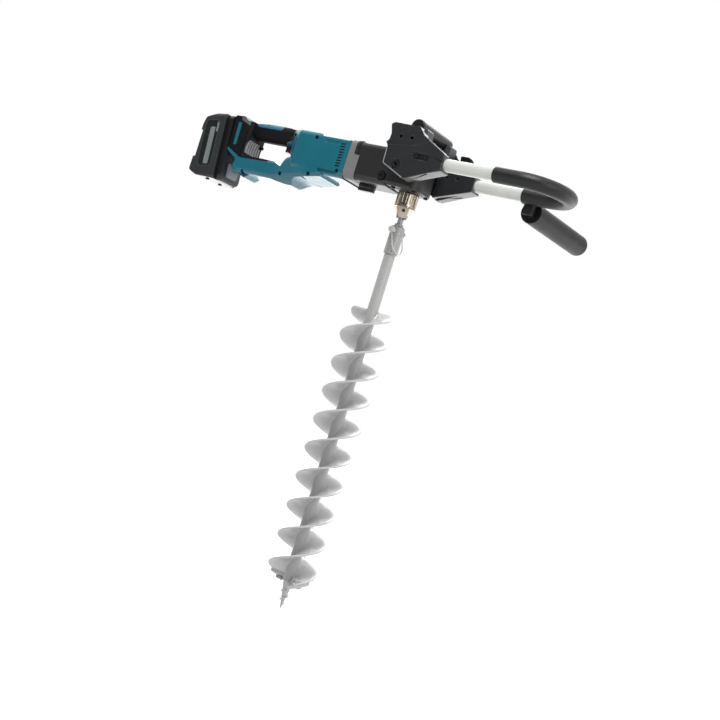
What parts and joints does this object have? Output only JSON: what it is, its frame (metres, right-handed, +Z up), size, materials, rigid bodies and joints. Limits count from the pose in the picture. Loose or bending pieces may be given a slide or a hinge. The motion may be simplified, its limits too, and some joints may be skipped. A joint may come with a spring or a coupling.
{
  "type": "earth auger",
  "caption": "Battery earth auger: rear D-handle with motor and bevel gear head, front loop handle, side reaction bar, keyed chuck and a twin-flight ground auger bit.",
  "frame": {"origin": "on the spindle axis inside the gear head, midway between the two hands of the hold", "axes": "+X forward from the battery to the front loop, +Y to the tool's left, +Z up along the spindle"},
  "size_m": [0.8339, 0.412, 0.9363],
  "materials": {
    "teal_plastic": "moulded satin",
    "grip_rubber": "soft-touch overmould",
    "black_plastic": "moulded",
    "charcoal_plastic": "fine texture",
    "grey_plastic": "moulded",
    "fan_plastic": "moulded",
    "cell_wrap": "wrapped steel cell, light core",
    "controller_alloy": "potted heat sink",
    "contact_brass": "contact block",
    "windings": "copper and iron laminations",
    "ring_alloy": "bead blasted",
    "case_alloy": "black coat on cast alloy",
    "holder_alloy": "charcoal coat on cast alloy",
    "gear_steel": "ground",
    "bolt_steel": "blackened",
    "tube_silver": "silver paint",
    "bright_steel": "plated",
    "chuck_nickel": "nickel plate",
    "auger_grey": "grey paint"
  },
  "bodies": {
    "tool_body": {"housing_right": "teal_plastic", "housing_left": "teal_plastic", "grip_skin_right": "grip_rubber", "grip_skin_left": "grip_rubber", "housing_screws": "bolt_steel", "switch_module": "black_plastic", "controller": "controller_alloy", "rail_plate": "black_plastic", "terminal_block": "contact_brass", "stator": "windings", "rotor_rear_bearing": "gear_steel", "rotor_front_bearing": "gear_steel", "bearing_plate": "ring_alloy", "gear_case": "case_alloy", "case_bolts": "bolt_steel", "counter_rear_bearing": "gear_steel", "counter_front_bearing": "gear_steel", "spindle_upper_bearing": "gear_steel", "spindle_lower_bearing": "gear_steel", "bearing_cover": "case_alloy", "cover_screws": "bolt_steel", "holder_right": "holder_alloy", "holder_left": "holder_alloy", "holder_screws": "bolt_steel", "clamp_bolts": "bolt_steel", "carry_brackets": "holder_alloy", "carry_core": "bright_steel", "carry_sleeve": "grip_rubber", "key_clip": "grip_rubber", "loop_tube": "tube_silver", "loop_grip": "grip_rubber", "bar_lug": "bolt_steel", "bar_tube": "bright_steel", "bar_sleeve": "grip_rubber"},
    "trigger": {"trigger": "black_plastic"},
    "reverse_lever": {"reverse_lever": "black_plastic"},
    "speed_knob": {"speed_knob": "black_plastic"},
    "battery": {"battery_case": "charcoal_plastic", "battery_cover": "black_plastic", "battery_cells": "cell_wrap"},
    "battery_button": {"battery_button": "grey_plastic"},
    "rotor": {"rotor": "gear_steel", "fan": "fan_plastic"},
    "countershaft": {"countershaft": "gear_steel"},
    "spindle": {"spindle": "gear_steel", "bevel_gear": "gear_steel", "chuck_body": "chuck_nickel"},
    "chuck_sleeve": {"chuck_sleeve": "chuck_nickel"},
    "jaw_1": {"chuck_jaw_1": "gear_steel"},
    "jaw_2": {"chuck_jaw_2": "gear_steel"},
    "jaw_3": {"chuck_jaw_3": "gear_steel"},
    "bit": {"bit_adapter": "bright_steel", "lock_pin": "bright_steel", "auger_stem": "auger_grey", "auger_flight": "auger_grey", "pilot_screw": "auger_grey"},
    "pin_bail": {"pin_bail": "bright_steel"}
  },
  "joints": [
    {"name": "trigger_pull", "type": "slide", "parent": "tool_body", "child": "trigger", "axis": [0, 0, 1], "range_m": [0, 0.006], "stiffness_N_per_m": 500, "springref_m": -0.003},
    {"name": "reverse_slide", "type": "slide", "parent": "tool_body", "child": "reverse_lever", "axis": [0, 1, 0], "range_m": [-0.004, 0.004]},
    {"name": "speed_turn", "type": "hinge", "parent": "tool_body", "child": "speed_knob", "pos_m": [-0.0945, 0, -0.043], "axis": [0, 0, -1], "range_deg": [0, 90]},
    {"name": "battery_slide", "type": "slide", "parent": "tool_body", "child": "battery", "axis": [0.1045, 0, -0.9945], "range_m": [0, 0.1]},
    {"name": "button_press", "type": "slide", "parent": "battery", "child": "battery_button", "axis": [-0.9945, 0, -0.1045], "range_m": [0, 0.004], "stiffness_N_per_m": 800, "springref_m": -0.002},
    {"name": "spindle_spin", "type": "hinge", "parent": "tool_body", "child": "spindle", "pos_m": [0, 0, 0], "axis": [0, 0, 1], "continuous": true},
    {"name": "counter_spin", "type": "hinge", "parent": "tool_body", "child": "countershaft", "pos_m": [-0.09, 0, 0.01], "axis": [1, 0, 0], "continuous": true},
    {"name": "rotor_spin", "type": "hinge", "parent": "tool_body", "child": "rotor", "pos_m": [-0.2, 0, -0.01], "axis": [1, 0, 0], "continuous": true},
    {"name": "sleeve_turn", "type": "hinge", "parent": "spindle", "child": "chuck_sleeve", "pos_m": [0, 0, -0.06], "axis": [0, 0, 1], "range_deg": [0, 300]},
    {"name": "jaw_slide_1", "type": "slide", "parent": "spindle", "child": "jaw_1", "axis": [0.2079, 0, 0.9781], "range_m": [0, 0.004]},
    {"name": "jaw_slide_2", "type": "slide", "parent": "spindle", "child": "jaw_2", "axis": [-0.104, 0.1801, 0.9781], "range_m": [0, 0.004]},
    {"name": "jaw_slide_3", "type": "slide", "parent": "spindle", "child": "jaw_3", "axis": [-0.104, -0.1801, 0.9781], "range_m": [0, 0.004]},
    {"name": "bit_release", "type": "slide", "parent": "spindle", "child": "bit", "axis": [0, 0, -1], "range_m": [0, 0.03]},
    {"name": "bail_swing", "type": "hinge", "parent": "bit", "child": "pin_bail", "pos_m": [0, 0, -0.1188], "axis": [0, -1, 0], "range_deg": [0, 100]}
  ],
  "couplings": [
    {"joint": "counter_spin", "follows": "spindle_spin", "ratio": -2.5},
    {"joint": "rotor_spin", "follows": "spindle_spin", "ratio": 8.6111},
    {"joint": "jaw_slide_1", "follows": "sleeve_turn", "m_per_rad": 0.00076},
    {"joint": "jaw_slide_2", "follows": "sleeve_turn", "m_per_rad": 0.00076},
    {"joint": "jaw_slide_3", "follows": "sleeve_turn", "m_per_rad": 0.00076}
  ]
}
